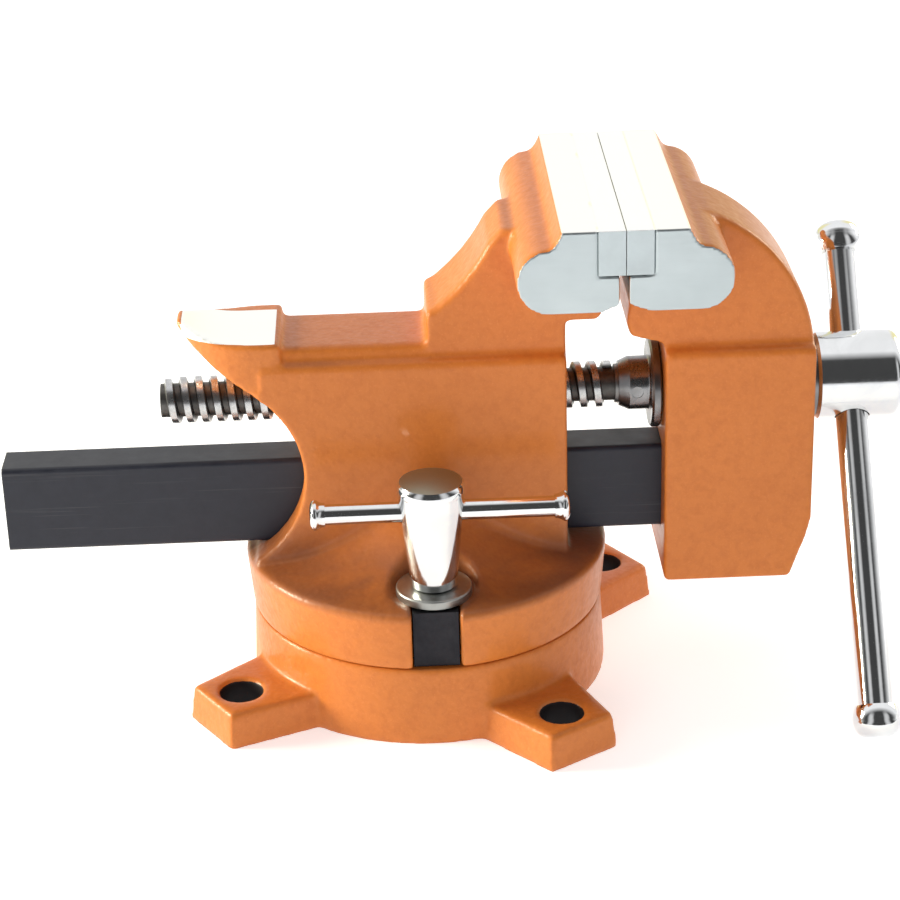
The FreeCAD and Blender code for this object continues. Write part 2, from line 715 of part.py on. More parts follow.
def spindle():
    """Single-start right-hand screw with a plain tail for the collar and the hub."""
    body = new_body("spindle")
    start, end = size("screw_start"), size("thread_end")
    pad(body, circle(new_sketch(body, "YZ", start), 0, 0, "core_radius"), end - start + 0.5)
    pad(body, circle(new_sketch(body, "YZ", end), 0, 0, 6.5), size("screw_tail") - end)
    pitch, crest, core = size("thread_pitch"), size("crest_radius"), size("core_radius")
    tooth = outline(
        new_sketch(body, "XZ"),
        (start + 1.0, core - 0.4), (start + 4.5, core - 0.4), (start + 3.8, crest), (start + 1.7, crest))
    ridge = body.newObject("PartDesign::AdditiveHelix", "Thread")
    ridge.Profile = tooth
    ridge.ReferenceAxis = (tooth, ["H_Axis"])
    ridge.Mode = "pitch-height-angle"
    ridge.Pitch = pitch
    ridge.Height = end - start - 5.0
    ridge.LeftHanded = False
    ridge.Reversed = False
    DOC.recompute()
    fillet(body, 0.8, lambda edge: lies(edge, "X", size("screw_tail")), "Chamfer")
    pocket(body, circle(new_sketch(body, "XZ"), 71, 0, 2.02), 40, symmetric=True)
    pocket(body, circle(new_sketch(body, "XZ"), 116, 0, 2.02), 40, symmetric=True)
    body.Placement = Placement(Vector(0, 0, size("screw_axis")), Rotation())
    return body


def retaining_collar():
    """Collar pinned to the screw, with a flange that pulls the moving jaw open."""
    body = new_body("retaining_collar")
    start, wide = size("collar_start"), size("collar_radius")
    step, flange, end = size("flange_start"), size("flange_radius"), size("front_left") - 0.4
    section = outline(
        new_sketch(body, "XZ"),
        (start, 6.52), (start, wide - 1.5), (start + 3.4, wide), (step - 0.8, wide),
        ((step - 0.23, wide + 0.23), (step, wide + 0.8)), (step, flange - 0.7), (step + 0.7, flange),
        (end - 0.5, flange), (end, flange - 0.5), (end, 6.52))
    revolve(body, "Revolution", section, "H_Axis")
    pocket(body, circle(new_sketch(body, "XZ"), 71, 0, 2.02), 40, symmetric=True)
    body.Placement = Placement(Vector(0, 0, size("screw_axis")), Rotation())
    return body


def cross_pin(label, x, length):
    """Dowel across the screw."""
    body = new_body(label)
    pad(body, circle(new_sketch(body, "XZ"), x, size("screw_axis"), 2.0), length, symmetric=True)
    return body


def thrust_washer():
    body = new_body("thrust_washer")
    plan = circle(new_sketch(body, "YZ", size("front_right") + 0.1), 0, size("screw_axis"), 13.4)
    circle(plan, 0, size("screw_axis"), size("hub_shank_radius") + 0.1)
    pad(body, plan, 2.0)
    return body


def spindle_hub():
    """Head with a shank that turns in the moving jaw; the handle slides through the head."""
    body = new_body("spindle_hub")
    start, end, radius = size("hub_start"), size("hub_end"), size("hub_radius")
    shank, socket = size("hub_shank_radius"), 6.53
    section = outline(
        new_sketch(body, "XZ"),
        (96, socket), (96, shank), (start, shank), (start, radius - 1.0), (start + 1.0, radius),
        (end - 3.2, radius), ((end - 0.95, radius - 0.95), (end, radius - 3.2)), (end, 0),
        (size("screw_tail") + 0.2, 0), (size("screw_tail") + 0.2, socket))
    revolve(body, "Revolution", section, "H_Axis")
    lean = size("handle_lean")
    hole = circle(new_sketch(body, "XY"), size("handle_spot"), 0, "handle_hole")
    hole.AttachmentOffset = Placement(Vector(0, 0, 0), Rotation(Vector(1, 0, 0), -lean))
    pocket(body, hole, 60, symmetric=True)
    pocket(body, circle(new_sketch(body, "XZ"), 116, 0, 2.02), 40, symmetric=True)
    body.Placement = Placement(Vector(0, 0, size("screw_axis")), Rotation())
    return body


def handle_place():
    """Frame of the handle: local Z runs up the rod, local zero is the hub centre."""
    return Placement(Vector(size("handle_spot"), 0, size("screw_axis")),
                     Rotation(Vector(1, 0, 0), -size("handle_lean")))


def handle_rod():
    body = new_body("handle_rod")
    low = -size("handle_down") - 3.2
    rod = circle(new_sketch(body, "XY", low), 0, 0, "handle_radius")
    pad(body, rod, size("handle_up") + size("handle_down") + 6.4)
    body.Placement = handle_place()
    return body


def handle_knobs():
    """Two turned ends pressed on the rod."""
    body = new_body("handle_knobs")
    long, wide = size("knob_long"), size("knob_radius")
    inner = size("handle_radius") + 0.02
    for spot, way in ((-size("handle_down"), -1), (size("handle_up"), 1)):
        back, front = spot - way * long / 2, spot + way * long / 2
        floor = spot + way * 3.25
        section = outline(
            new_sketch(body, "XZ"),
            (inner, back), (wide - 1.0, back), ((wide - 0.25, back + way * 1.8), (wide, spot)),
            ((wide - 1.1, spot + way * 3.4), (2.6, front)), (0, front), (0, floor), (inner, floor))
        revolve(body, "Revolution", section, "V_Axis")
    body.Placement = handle_place()
    return body


# ---------------------------------------------------------------- build and write

PIECES = [
    swivel_base(),
    pivot_bolt(),
    pivot_washer(),
    fixed_jaw_casting(),
    jaw_plate("fixed_jaw_plate", -1),
    plate_screws("fixed_jaw_plate_screws", -1),
    spindle_nut(),
    nut_set_screw(),
    lock_bolt("lock_bolt_front", -1),
    lock_bolt("lock_bolt_rear", 1),
    lock_washer("lock_washer_front", -1),
    lock_washer("lock_washer_rear", 1),
    lock_nut("lock_nut_front", -1),
    lock_nut("lock_nut_rear", 1),
    lock_bar("lock_bar_front", -1),
    lock_bar("lock_bar_rear", 1),
    lock_bar_knobs("lock_bar_knobs_front", -1),
    lock_bar_knobs("lock_bar_knobs_rear", 1),
    moving_jaw_casting(),
    jaw_plate("moving_jaw_plate", 1),
    plate_screws("moving_jaw_plate_screws", 1),
    slide_bar(),
    slide_bar_pins(),
    spindle(),
    retaining_collar(),
    cross_pin("collar_pin", 71, 17.0),
    thrust_washer(),
    spindle_hub(),
    cross_pin("hub_pin", 116, 18.4),
    handle_rod(),
    handle_knobs(),
]

DOC.recompute()
for item in DOC.Objects:
    if "Invalid" in item.State or "Error" in item.State:
        raise RuntimeError("%s %s is in state %s" % (item.Name, item.Label, item.State))

os.makedirs("parts", exist_ok=True)
for piece in PIECES:
    shape = piece.Shape
    if shape.isNull() or not shape.isValid():
        raise RuntimeError("bad shape in " + piece.Label)
    shape.exportStep("parts/%s.step" % piece.Label)
    print("%-26s solids %d volume %10.1f  %s" % (
        piece.Label, len(shape.Solids), shape.Volume, shape.BoundBox))
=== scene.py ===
"""Looks of the bench vise: materials, rounded skins for the castings, studio and camera."""

import json
import math

import bpy
import numpy as np
from mathutils import Matrix, Vector

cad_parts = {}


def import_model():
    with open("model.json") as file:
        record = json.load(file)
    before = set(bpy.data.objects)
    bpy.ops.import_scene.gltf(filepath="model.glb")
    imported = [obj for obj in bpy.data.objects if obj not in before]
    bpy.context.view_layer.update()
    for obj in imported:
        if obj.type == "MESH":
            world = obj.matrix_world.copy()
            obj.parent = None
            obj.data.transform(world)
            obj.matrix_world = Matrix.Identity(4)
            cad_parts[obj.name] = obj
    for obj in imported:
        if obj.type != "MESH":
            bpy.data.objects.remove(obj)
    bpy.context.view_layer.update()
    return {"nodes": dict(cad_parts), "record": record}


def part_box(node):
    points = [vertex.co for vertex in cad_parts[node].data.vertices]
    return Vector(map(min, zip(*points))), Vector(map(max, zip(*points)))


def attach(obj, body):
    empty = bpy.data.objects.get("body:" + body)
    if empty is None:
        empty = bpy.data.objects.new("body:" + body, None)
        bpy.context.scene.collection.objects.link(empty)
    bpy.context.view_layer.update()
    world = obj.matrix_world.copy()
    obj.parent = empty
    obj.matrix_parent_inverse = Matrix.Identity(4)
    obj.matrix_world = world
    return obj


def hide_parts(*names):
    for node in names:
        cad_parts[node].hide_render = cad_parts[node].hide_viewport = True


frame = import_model()
NODES = frame["nodes"]
SLOT_OF = {entry["node"]: entry["material_slot"] for entry in frame["record"]["subparts"]}

# Limits of the machined surfaces, in metres. Where a limit bounds a face that it is parallel to,
# it lies FLUSH inside the face, so that the whole face is in the mask.
FLUSH = 0.00015
JAW_TOP = 0.171 - FLUSH
JAW_END = 0.050 - FLUSH
BLOCKS_FROM = 0.140
JAW_FACE_FROM, JAW_FACE_X = 0.1464, (0.0611, 0.0640)
SEAT_FROM, SEAT_X = 0.1557, (0.0536, 0.0724)
ANVIL_X, ANVIL_Y, ANVIL_Z = (-0.0772, -0.0468), (-0.0181, 0.0130), (0.12515, 0.1306)
BELOW_BLOCKS = 0.135

# Heights at which the painted shade on the swivel plate and at the body's foot fades in or out.
FOOT_IN, FOOT_OUT, PLATE_TOP_SHADE_OUT = (0.0440, 0.0475), (0.0660, 0.0500), (0.0700, 0.0560)

# Bench holes in the base.
QUARTER = math.pi / 2
LUG_TURN = math.radians(57)
BOLT_CIRCLE = 0.0755
HOLE_RADIUS = 0.00725
LUG_TOP = 0.0121

# Screw thread, as distances from its axis.
ROOT, CREST = 0.0061, 0.0073

# Colours, linear.
ORANGE, ORANGE_LIGHT = (0.600, 0.176, 0.030), (0.655, 0.200, 0.036)
ORANGE_SPECKLE, ORANGE_GRAIN = (0.53, 0.145, 0.026), (0.78, 0.28, 0.07)
# Pale orange for the edges: rubbed wear together with a painted edge highlight.
ORANGE_WORN_AND_HIGHLIT = (0.84, 0.42, 0.12)
# Dark brown of the painted shade on the swivel plate and at the body's foot.
PAINTED_SHADE_BROWN = (0.080, 0.042, 0.040)
# Near-black painted shade on the bare drilled walls of the bench holes.
BORE_SHADE = (0.018, 0.014, 0.015)
SAWN, SAWN_LIGHT = (0.50, 0.56, 0.58), (0.55, 0.61, 0.63)
# Polished tops, painted near white as a painted highlight of the bright room above.
POLISHED_IRON_HIGHLIT, POLISHED_STEEL_HIGHLIT = (0.93, 0.93, 0.90), (0.92, 0.925, 0.91)
BLACK, BLACK_LIGHT = (0.014, 0.016, 0.026), (0.022, 0.024, 0.036)
BLACK_SCRATCH, BLACK_RUBBED = (0.11, 0.11, 0.12), (0.18, 0.19, 0.21)
CREST_BRIGHT, CREST_DULL = (0.62, 0.63, 0.64), (0.36, 0.36, 0.36)
ROOT_OILY, ROOT_DRY = (0.07, 0.068, 0.065), (0.16, 0.155, 0.15)
CHROME, CHROME_SMEAR = (0.80, 0.81, 0.82), (0.70, 0.71, 0.72)
# Painted dark reflection for the upward end faces of the lock nuts.
DARK_REFLECTION_TOP = (0.30, 0.30, 0.24)
WHITE = (1.0, 1.0, 1.0)


# ---------------------------------------------------------------- node helpers


class Nodes:
    """A node tree with short ways to add and join nodes."""

    def __init__(self, tree):
        self.tree = tree
        self.tree.nodes.clear()

    def add(self, kind, **settings):
        node = self.tree.nodes.new(kind)
        for name, value in settings.items():
            setattr(node, name, value)
        return node

    def link(self, source, target):
        self.tree.links.new(source, target)

    def feed(self, target, value):
        """Set a socket to a number or a colour, or link another socket to it."""
        if isinstance(value, (int, float)):
            target.default_value = value
        elif isinstance(value, tuple):
            whole = len(value) == 4 or target.type == "VECTOR"
            target.default_value = value if whole else value + (1.0,)
        else:
            self.link(value, target)

    def ramp(self, value, low, high, start=0.0, end=1.0):
        """start to end while the value goes from low to high, and held outside."""
        node = self.add("ShaderNodeMapRange", clamp=True)
        self.link(value, node.inputs["Value"])
        node.inputs["From Min"].default_value = low
        node.inputs["From Max"].default_value = high
        node.inputs["To Min"].default_value = start
        node.inputs["To Max"].default_value = end
        return node.outputs["Result"]

    def math(self, kind, first, second=0.0):
        node = self.add("ShaderNodeMath", operation=kind)
        self.feed(node.inputs[0], first)
        self.feed(node.inputs[1], second)
        return node.outputs[0]

    def product(self, *values):
        """The values multiplied: for masks, 1 where all of them are 1."""
        result = values[0]
        for value in values[1:]:
            result = self.math("MULTIPLY", result, value)
        return result

    def largest(self, *values):
        """The largest value: for masks, 1 where any of them is 1."""
        result = values[0]
        for value in values[1:]:
            result = self.math("MAXIMUM", result, value)
        return result

    def above(self, value, limit):
        return self.math("GREATER_THAN", value, limit)

    def below(self, value, limit):
        return self.math("LESS_THAN", value, limit)

    def band(self, value, limits):
        """1 where the value lies between two limits."""
        low, high = limits
        return self.product(self.above(value, low), self.below(value, high))

    def length(self, first, second):
        """Length of a flat vector."""
        squares = self.product(first, first), self.product(second, second)
        return self.math("SQRT", self.math("ADD", *squares))

    def join(self, data_type, factor, first, second):
        node = self.add("ShaderNodeMix", data_type=data_type)
        self.feed(node.inputs["Factor"], factor)
        self.feed(node.inputs["A"], first)
        self.feed(node.inputs["B"], second)
        return node.outputs["Result"]

    def mix(self, factor, first, second):
        """From one colour to another."""
        return self.join("RGBA", factor, first, second)

    def blend(self, factor, first, second):
        """From one number to another."""
        return self.join("FLOAT", factor, first, second)

    def split(self, vector):
        node = self.add("ShaderNodeSeparateXYZ")
        self.link(vector, node.inputs[0])
        return node.outputs


class Surface(Nodes):
    """A material of one principled shader, with its textures in object space, in metres."""

    def __init__(self, name):
        self.material = bpy.data.materials.new(name)
        self.material.use_nodes = True
        super().__init__(self.material.node_tree)
        self.shader = self.add("ShaderNodeBsdfPrincipled")
        self.link(self.shader.outputs[0], self.add("ShaderNodeOutputMaterial").inputs["Surface"])
        self.place = self.add("ShaderNodeTexCoord").outputs["Object"]

    def noise(self, scale, detail=2.0, rough=0.5, distortion=0.0, vector=None):
        node = self.add("ShaderNodeTexNoise")
        self.link(vector or self.place, node.inputs["Vector"])
        node.inputs["Scale"].default_value = scale
        node.inputs["Detail"].default_value = detail
        node.inputs["Roughness"].default_value = rough
        node.inputs["Distortion"].default_value = distortion
        return node.outputs["Fac"]

    def cells(self, scale, smooth):
        node = self.add("ShaderNodeTexVoronoi", feature="SMOOTH_F1")
        self.link(self.place, node.inputs["Vector"])
        node.inputs["Scale"].default_value = scale
        node.inputs["Smoothness"].default_value = smooth
        return node.outputs["Distance"]

    def stretch(self, x, y, z):
        """Object space scaled along its axes, for streaks."""
        node = self.add("ShaderNodeMapping")
        self.link(self.place, node.inputs["Vector"])
        node.inputs["Scale"].default_value = (x, y, z)
        return node.outputs[0]

    def bevel(self, radius):
        """The normal as it would be with rounded edges."""
        node = self.add("ShaderNodeBevel", samples=4)
        node.inputs["Radius"].default_value = radius
        return node.outputs["Normal"]

    def bump(self, height, strength, distance, below=None):
        node = self.add("ShaderNodeBump")
        node.inputs["Strength"].default_value = strength
        node.inputs["Distance"].default_value = distance
        self.link(height, node.inputs["Height"])
        if below is not None:
            self.link(below, node.inputs["Normal"])
        return node.outputs["Normal"]

    def true_normal(self):
        return self.add("ShaderNodeNewGeometry").outputs["Normal"]

    def upward(self):
        """How far the surface faces up, -1 to 1."""
        return self.split(self.true_normal())[2]

    def edges(self, rounded):
        """1 on edges, 0 on flats: how far the rounded normal leaves the true one, by cosine."""
        dot = self.add("ShaderNodeVectorMath", operation="DOT_PRODUCT")
        self.link(rounded, dot.inputs[0])
        self.link(self.true_normal(), dot.inputs[1])
        return self.ramp(dot.outputs["Value"], 0.995, 0.80)

    def set(self, **values):
        for name, value in values.items():
            self.feed(self.shader.inputs[name.replace("_", " ")], value)
        return self.material


# ---------------------------------------------------------------- castings


def ground_iron(g):
    """Colour of ground iron: patchy on the jaw ends; polished on the jaw tops and the anvil, and
    painted near white there as a painted highlight.
    """
    z = g.split(g.place)[2]
    # Painted highlight: the polished jaw tops and anvil face are painted near white.
    polished_and_highlit = g.largest(g.above(z, JAW_TOP), g.below(z, BELOW_BLOCKS))
    patch = g.noise(45, 3, 0.55)
    sawn = g.mix(g.ramp(patch, 0.35, 0.7), SAWN, SAWN_LIGHT)
    return g.mix(polished_and_highlit, sawn, POLISHED_IRON_HIGHLIT)


def enamel(g, rounded):
    """Colour, roughness and height of hammered orange enamel, paler in patches along its edges from
    rubbed wear and a painted edge highlight.
    """
    hammered = g.cells(560, 0.8)
    grain = g.noise(1300, 3, 0.6)
    mottle = g.noise(330, 3, 0.6, 0.3)
    drift = g.noise(11, 3, 0.5)
    rubbing = g.noise(140, 5, 0.7)
    # Edge patches: partly rubbed wear, partly a painted highlight along the rounded edges.
    worn_and_highlit_edges = g.product(g.edges(rounded), g.ramp(rubbing, 0.52, 0.70))
    colour = g.mix(g.ramp(drift, 0.3, 0.7), ORANGE, ORANGE_LIGHT)
    colour = g.mix(g.ramp(mottle, 0.42, 0.70, 0.0, 0.55), colour, ORANGE_SPECKLE)
    colour = g.mix(g.ramp(grain, 0.56, 0.74, 0.0, 0.30), colour, ORANGE_GRAIN)
    colour = g.mix(g.product(worn_and_highlit_edges, 0.50), colour, ORANGE_WORN_AND_HIGHLIT)
    height = g.math("ADD", g.product(hammered, 0.8), g.product(mottle, 0.3))
    return colour, g.ramp(mottle, 0.3, 0.7, 0.34, 0.46), height


def cast_paint(name, machined, bores_painted_dark=False, painted_shade=None):
    """Enamelled casting. machined(g) is the mask of its bare faces: drilled iron painted near black as
    painted shade in the bores, ground iron elsewhere; the last argument, a mask function, gives where
    painted shade darkens the paint."""
    g = Surface(name)
    rounded = g.bevel(0.0010)
    paint, paint_rough, height = enamel(g, rounded)
    # Painted shade: the paint darkens towards a dark brown where the shade mask is high.
    if painted_shade is not None:
        paint = g.mix(g.product(painted_shade(g), 0.66), paint, PAINTED_SHADE_BROWN)
    mask = machined(g)
    streak = g.noise(900, 3, 0.6, vector=g.stretch(0.10, 1.0, 1.0))
    # In the bores the bare drilled iron is painted near black as painted shade.
    bare = BORE_SHADE if bores_painted_dark else ground_iron(g)
    bare_rough = g.ramp(streak, 0.2, 0.8, 0.34, 0.48)
    normal = g.join("VECTOR", mask, g.bump(height, 0.30, 0.0005, rounded), g.bump(streak, 0.08, 0.0002))
    return g.set(Base_Color=g.mix(mask, paint, bare), Metallic=0.0 if bores_painted_dark else mask,
                 Roughness=g.blend(mask, paint_rough, bare_rough), Specular_IOR_Level=0.3,
                 Normal=normal, Coat_Weight=g.ramp(mask, 0.0, 1.0, 0.2, 0.0),
                 Coat_Roughness=0.14, Coat_Normal=rounded)


def jaw_faces(g):
    """Ends, tops, faces and plate seats of the jaw blocks."""
    x, y, z = g.split(g.place)
    ends = g.product(g.above(z, BLOCKS_FROM), g.above(g.math("ABSOLUTE", y), JAW_END))
    faces = g.product(g.above(z, JAW_FACE_FROM), g.band(x, JAW_FACE_X))
    seats = g.product(g.above(z, SEAT_FROM), g.band(x, SEAT_X))
    return g.largest(ends, g.above(z, JAW_TOP), faces, seats)


def body_faces(g):
    """Jaw faces, and the ground anvil face inside its painted rim."""
    x, y, z = g.split(g.place)
    anvil = g.product(g.band(x, ANVIL_X), g.band(y, ANVIL_Y), g.band(z, ANVIL_Z))
    return g.largest(jaw_faces(g), anvil)


def bench_holes(g):
    """The holes of the four lugs, folded into one quarter turn with its lug in the middle."""
    x, y, z = g.split(g.place)
    turn = g.math("ADD", g.math("ARCTAN2", y, x), LUG_TURN + 4.5 * QUARTER)
    off_lug = g.math("SUBTRACT", g.math("MODULO", turn, QUARTER), QUARTER / 2)
    radius = g.length(x, y)
    along = g.math("SUBTRACT", g.product(radius, g.math("COSINE", off_lug)), BOLT_CIRCLE)
    across = g.product(radius, g.math("SINE", off_lug))
    return g.product(g.below(g.length(along, across), HOLE_RADIUS), g.below(z, LUG_TOP))


def plate_painted_shade(g):
    """Patchy painted shade on the upward swivel plate top and at the foot of the body, 0 to 1."""
    z = g.split(g.place)[2]
    # Painted shade: upward faces low on the swivel plate, and a band at the body's foot, are darkened.
    plate_top_shade = g.product(g.ramp(g.upward(), 0.55, 0.95), g.ramp(z, *PLATE_TOP_SHADE_OUT, 0.0, 0.75))
    foot = g.product(g.ramp(z, *FOOT_IN), g.ramp(z, *FOOT_OUT))
    patchy = g.ramp(g.noise(38, 4, 0.6, 0.4), 0.30, 0.62, 0.55, 1.0)
    return g.product(g.largest(plate_top_shade, foot), patchy)


# ---------------------------------------------------------------- steels and bar paint


def ground_steel(name, colour, patch_colour, rough, highlit_polished_top=False):
    """Steel ground along Y; the polished-top flag makes what is level with the jaw tops polished and
    paints it near white as a painted highlight.
    """
    g = Surface(name)
    streak = g.noise(1100, 3, 0.6, vector=g.stretch(1.0, 0.1, 1.0))
    patch = g.noise(90, 4, 0.6)
    tint = g.mix(g.ramp(patch, 0.35, 0.7), colour, patch_colour)
    if highlit_polished_top:
        # Painted highlight: the polished jaw plate tops are painted near white.
        tint = g.mix(g.above(g.split(g.place)[2], JAW_TOP), tint, POLISHED_STEEL_HIGHLIT)
    return g.set(Base_Color=tint, Metallic=1.0, Roughness=g.ramp(streak, 0.2, 0.8, *rough),
                 Normal=g.bump(streak, 0.10, 0.0002, g.bevel(0.0003)))


def turned_steel(name, colour, smear_colour, rough, grain_scale=1400, top=None):
    """Bright turned metal with a fine grain and smears; top is the colour of a painted dark reflection
    on upward end faces, which are also rougher.
    """
    g = Surface(name)
    grain = g.noise(grain_scale, 2, 0.5)
    smear = g.noise(70, 4, 0.6, 0.6)
    tint = g.mix(g.ramp(smear, 0.35, 0.7), colour, smear_colour)
    roughness = g.math("ADD", g.ramp(smear, 0.3, 0.75, *rough), g.ramp(grain, 0.3, 0.7, 0.0, 0.04))
    if top is not None:
        # Painted dark reflection: upward end faces take the top colour, and are also made rougher.
        end_face = g.ramp(g.upward(), 0.90, 0.98)
        tint = g.mix(end_face, tint, top)
        roughness = g.blend(end_face, roughness, 0.40)
    return g.set(Base_Color=tint, Metallic=1.0, Roughness=roughness,
                 Normal=g.bump(grain, 0.05, 0.00012))


def bar_paint(name):
    """Thin satin black over rolled bar, rubbed along the corners."""
    g = Surface(name)
    mottle = g.noise(160, 5, 0.65)
    scratch = g.noise(700, 3, 0.7, vector=g.stretch(0.02, 1.0, 1.0))
    rubbing = g.noise(90, 5, 0.7)
    rounded = g.bevel(0.0008)
    rubbed = g.product(g.edges(rounded), g.ramp(rubbing, 0.42, 0.7))
    colour = g.mix(g.ramp(mottle, 0.35, 0.7), BLACK, BLACK_LIGHT)
    colour = g.mix(g.ramp(scratch, 0.62, 0.74, 0.0, 0.25), colour, BLACK_SCRATCH)
    colour = g.mix(g.product(rubbed, 0.5), colour, BLACK_RUBBED)
    height = g.math("ADD", g.product(mottle, 0.6), g.product(scratch, 0.4))
    return g.set(Base_Color=colour, Metallic=0.0, Roughness=g.ramp(mottle, 0.3, 0.7, 0.38, 0.52),
                 Specular_IOR_Level=0.4, Normal=g.bump(height, 0.15, 0.0003, rounded))


def oiled_thread(name):
    """Screw steel: bright crests, dark oily roots, by the distance from the screw's own axis."""
    g = Surface(name)
    low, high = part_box("spindle")
    _, y, z = g.split(g.place)
    radius = g.length(y, g.math("SUBTRACT", z, (low.z + high.z) / 2))
    crest = g.ramp(radius, ROOT, CREST)
    oil = g.noise(260, 4, 0.65)
    oily = g.ramp(oil, 0.3, 0.75)
    colour = g.mix(crest, g.mix(oily, ROOT_OILY, ROOT_DRY), g.mix(oily, CREST_BRIGHT, CREST_DULL))
    rough = g.blend(crest, 0.48, g.ramp(oil, 0.3, 0.7, 0.22, 0.34))
    return g.set(Base_Color=colour, Metallic=1.0, Roughness=rough, Normal=g.bump(oil, 0.15, 0.0002))


FINISHES = {
    "body_enamel": cast_paint("body_enamel", body_faces, painted_shade=plate_painted_shade),
    "jaw_enamel": cast_paint("jaw_enamel", jaw_faces),
    "base_enamel": cast_paint("base_enamel", bench_holes, bores_painted_dark=True),
    "jaw_steel": ground_steel("ground_jaw_steel", (0.50, 0.56, 0.58), (0.45, 0.50, 0.52),
                              (0.28, 0.42), highlit_polished_top=True),
    "black_oxide": ground_steel("black_oxide", (0.024, 0.024, 0.029), (0.04, 0.04, 0.046),
                                (0.38, 0.55)),
    "zinc_steel": turned_steel("zinc", (0.60, 0.61, 0.62), (0.45, 0.46, 0.47), (0.24, 0.38)),
    "screw_steel": oiled_thread("screw_steel"),
    "collar": turned_steel("collar_steel", (0.30, 0.30, 0.31), (0.16, 0.16, 0.165), (0.22, 0.34)),
    "washer": turned_steel("washer_steel", (0.50, 0.51, 0.50), (0.34, 0.35, 0.34), (0.30, 0.42)),
    "bronze": turned_steel("nut_bronze", (0.55, 0.36, 0.15), (0.40, 0.25, 0.10), (0.28, 0.42)),
    "chrome": turned_steel("bright_chrome", CHROME, CHROME_SMEAR, (0.06, 0.13), 600),
    "lock_chrome": turned_steel("lock_chrome", CHROME, CHROME_SMEAR, (0.06, 0.13), 600, DARK_REFLECTION_TOP),
    "black_paint": bar_paint("bar_black"),
}

# A node has the finish of its slot, apart from these.
FINISH_OF = {
    "fixed_jaw_casting": "body_enamel", "moving_jaw_casting": "jaw_enamel",
    "swivel_base": "base_enamel",
    "retaining_collar": "collar", "collar_pin": "collar", "thrust_washer": "collar",
    "lock_washer_front": "washer", "lock_washer_rear": "washer",
    "lock_nut_front": "lock_chrome", "lock_nut_rear": "lock_chrome",
}
for node, shape in NODES.items():
    shape.data.materials.clear()
    shape.data.materials.append(FINISHES[FINISH_OF.get(node, SLOT_OF[node])])


# ---------------------------------------------------------------- cast skins

VOXEL = 0.0008
ROUNDS = 6
STEP = 0.6
NEAR_PLANE = 0.0006
BELOW_PLATE = 0.0002


def settle(mesh, planes):
    """Relax a dense mesh so that its edges get cast radii; points on machined planes stay there.

    A plane is (axis, value, lowest height at which it counts, edge). A "broken" plane lets go of
    the points on the "seat" plane listed before it, so that the seat keeps a soft edge there.
    """
    count = len(mesh.vertices)
    points = np.empty(count * 3)
    mesh.vertices.foreach_get("co", points)
    points = points.reshape(-1, 3)
    pairs = np.empty(len(mesh.edges) * 2, dtype=np.int64)
    mesh.edges.foreach_get("vertices", pairs)
    first, second = pairs.reshape(-1, 2).T
    degree = np.bincount(pairs, minlength=count)[:, None]
    held = []
    seat = np.zeros(count, dtype=bool)
    for axis, value, lowest, edge in planes:
        mask = (np.abs(points[:, axis] - value) < NEAR_PLANE) & (points[:, 2] > lowest)
        held.append((axis, value, mask & ~seat if edge == "broken" else mask))
        if edge == "seat":
            seat = mask
    for _ in range(ROUNDS):
        total = np.stack([np.bincount(first, points[second, axis], count)
                          + np.bincount(second, points[first, axis], count)
                          for axis in range(3)], axis=1)
        points += STEP * (total / degree - points)
        for axis, value, mask in held:
            points[mask, axis] = value
    mesh.vertices.foreach_set("co", points.ravel())
    mesh.update()


def cast_skin(name, body, planes):
    """The CAD casting again with rounded edges, as sand casting leaves them."""
    scratch = bpy.data.objects.new("scratch", NODES[name].data.copy())
    bpy.context.scene.collection.objects.link(scratch)
    remesh = scratch.modifiers.new("even", "REMESH")
    remesh.mode = "VOXEL"
    remesh.voxel_size = VOXEL
    even = scratch.evaluated_get(bpy.context.evaluated_depsgraph_get())
    mesh = bpy.data.meshes.new_from_object(even)
    bpy.data.objects.remove(scratch)
    settle(mesh, planes)
    mesh.polygons.foreach_set("use_smooth", np.ones(len(mesh.polygons), dtype=bool))
    mesh.materials.clear()
    mesh.materials.append(FINISHES[FINISH_OF[name]])
    skin = bpy.data.objects.new(name + "_skin", mesh)
    bpy.context.scene.collection.objects.link(skin)
    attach(skin, body)
    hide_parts(name)


def jaw_planes(plate, seat):
    """Ground planes of a jaw: the seat behind its plate, its two ends and its top."""
    low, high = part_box(plate)
    return [(0, seat, low.z - BELOW_PLATE, "seat"), (1, low.y, BLOCKS_FROM, "broken"),
            (1, high.y, BLOCKS_FROM, "broken"), (2, high.z, BLOCKS_FROM, "sharp")]


cast_skin("fixed_jaw_casting", "swivel_body",
          jaw_planes("fixed_jaw_plate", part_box("fixed_jaw_plate")[0].x))
cast_skin("moving_jaw_casting", "moving_jaw",
          jaw_planes("moving_jaw_plate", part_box("moving_jaw_plate")[1].x))
cast_skin("swivel_base", "base",
          [(2, 0.0, -1.0, "sharp"), (2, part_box("swivel_base")[1].z, 0.0, "sharp")])


# ---------------------------------------------------------------- studio

# Camera, as fitted to the base in the photograph: place in metres, angles in degrees, and
# lens and sensor in millimetres.
EYE = (-0.0102, -0.7619, 0.4276)
ELEVATION, AZIMUTH, ROLL = 24.674, -1.44, -1.653
LENS, SENSOR = 100.0, 36.0

# Soft square lamps: place, size, power, colour, and whether they show in reflections.
LAMPS = {
    "key_left": ((-1.20, 0.12, 0.40), 0.45, 24, (1.0, 0.95, 0.74), True),
    "right_rim": ((0.95, 0.60, 0.46), 0.5, 6, (1.0, 0.95, 0.76), True),
    "front_fill": ((-0.15, -1.15, 0.30), 0.9, 6, (1.0, 0.98, 0.97), False),
}
LIT_POINT = (0.0, 0.0, 0.09)
FLOOR_HALF = 6.0
FLOOR_GLOW = 0.50
WARM_CORNER = (1.0, 0.92, 0.50)
ROOM_STRENGTH = 1.08


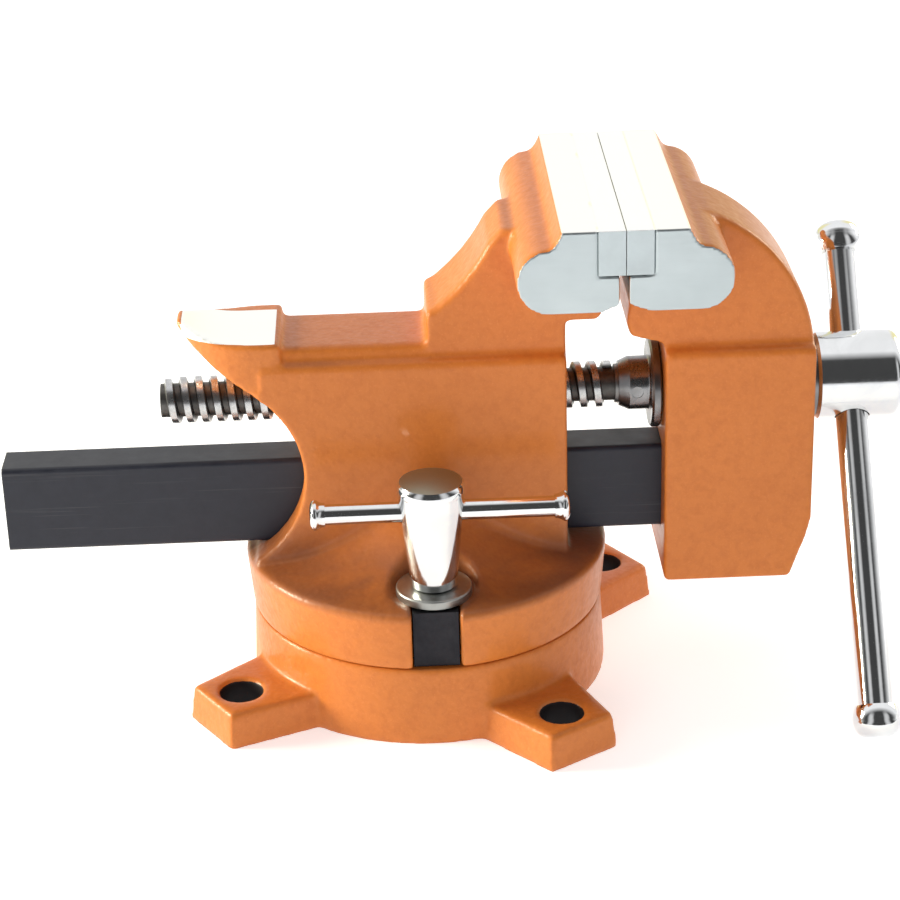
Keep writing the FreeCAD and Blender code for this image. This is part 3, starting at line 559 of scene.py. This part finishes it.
def area_light(name, location, size, power, colour, in_reflections):
    data = bpy.data.lights.new(name, "AREA")
    data.energy = power
    data.color = colour
    data.size = size
    lamp = bpy.data.objects.new(name, data)
    lamp.location = location
    lamp.rotation_mode = "QUATERNION"
    lamp.rotation_quaternion = (Vector(LIT_POINT) - Vector(location)).to_track_quat("-Z", "Y")
    lamp.visible_glossy = in_reflections
    bpy.context.scene.collection.objects.link(lamp)


def floor():
    """A wide pale sheet under the vise, with a little light of its own to keep it even."""
    half = FLOOR_HALF
    corners = [(-half, -half, 0), (half, -half, 0), (half, half, 0), (-half, half, 0)]
    mesh = bpy.data.meshes.new("floor")
    mesh.from_pydata(corners, [], [(0, 1, 2, 3)])
    sheet = bpy.data.objects.new("floor", mesh)
    bpy.context.scene.collection.objects.link(sheet)
    g = Surface("pale_floor")
    tone = g.mix(g.noise(3, 2, 0.5), (0.90, 0.91, 0.96), (0.93, 0.94, 0.98))
    mesh.materials.append(g.set(Base_Color=tone, Roughness=0.8, Specular_IOR_Level=0.1,
                                Emission_Color=WHITE, Emission_Strength=FLOOR_GLOW))


def world():
    """White behind and overhead, and dark in front with tall soft strips. Reflections also see
    two warm corners far behind. The background itself is plain white."""
    surroundings = bpy.data.worlds.new("studio")
    bpy.context.scene.world = surroundings
    surroundings.use_nodes = True
    g = Nodes(surroundings.node_tree)
    ray = g.add("ShaderNodeLightPath").outputs
    x, y, z = g.split(g.add("ShaderNodeTexCoord").outputs["Generated"])
    # Four strips to a full turn, which end short of the zenith.
    strips = g.ramp(g.math("COSINE", g.product(g.math("ARCTAN2", y, x), 4.0)), -0.35, -0.95)
    strips = g.product(strips, g.ramp(z, 0.85, 0.6))
    # The white half leans forward overhead.
    behind = g.ramp(g.math("ADD", y, g.product(z, 0.38)), -0.16, 0.22)
    tone = g.blend(behind, g.ramp(strips, 0.0, 1.0, 0.06, 0.70), 1.0)
    # Matt surfaces get less of it, so that the lamps shape them.
    tone = g.product(tone, g.blend(ray["Is Diffuse Ray"], 1.0, 0.45))
    corners = g.product(g.ramp(g.math("ABSOLUTE", x), 0.20, 0.42), g.ramp(y, 0.45, 0.70),
                        ray["Is Glossy Ray"])
    shaded = g.add("ShaderNodeVectorMath", operation="SCALE")
    g.link(g.mix(corners, WHITE, WARM_CORNER), shaded.inputs[0])
    g.link(tone, shaded.inputs["Scale"])
    room = g.add("ShaderNodeBackground")
    g.link(shaded.outputs[0], room.inputs["Color"])
    room.inputs["Strength"].default_value = ROOM_STRENGTH
    plain = g.add("ShaderNodeBackground")
    g.feed(plain.inputs["Color"], WHITE)
    pick = g.add("ShaderNodeMixShader")
    g.link(ray["Is Camera Ray"], pick.inputs[0])
    g.link(room.outputs[0], pick.inputs[1])
    g.link(plain.outputs[0], pick.inputs[2])
    g.link(pick.outputs[0], g.add("ShaderNodeOutputWorld").inputs["Surface"])


def camera():
    """The photograph's view: slightly turned, from above, with a small roll."""
    elevation, azimuth, roll = (math.radians(angle) for angle in (ELEVATION, AZIMUTH, ROLL))
    forward = Vector((-math.sin(azimuth) * math.cos(elevation),
                      math.cos(azimuth) * math.cos(elevation), -math.sin(elevation)))
    right = Vector((math.cos(azimuth), math.sin(azimuth), 0))
    up = right.cross(forward)
    across = right * math.cos(roll) + up * math.sin(roll)
    above = -right * math.sin(roll) + up * math.cos(roll)
    data = bpy.data.cameras.new("photo_view")
    data.sensor_width = SENSOR
    data.lens = LENS
    data.clip_end = 50
    eye = bpy.data.objects.new("photo_view", data)
    turn = Matrix((across, above, -forward)).transposed().to_4x4()
    eye.matrix_world = Matrix.Translation(Vector(EYE)) @ turn
    bpy.context.scene.collection.objects.link(eye)
    bpy.context.scene.camera = eye


floor()
world()
camera()
for lamp_name, settings in LAMPS.items():
    area_light(lamp_name, *settings)
bpy.context.scene.view_settings.view_transform = "Standard"
bpy.context.scene.view_settings.look = "None"
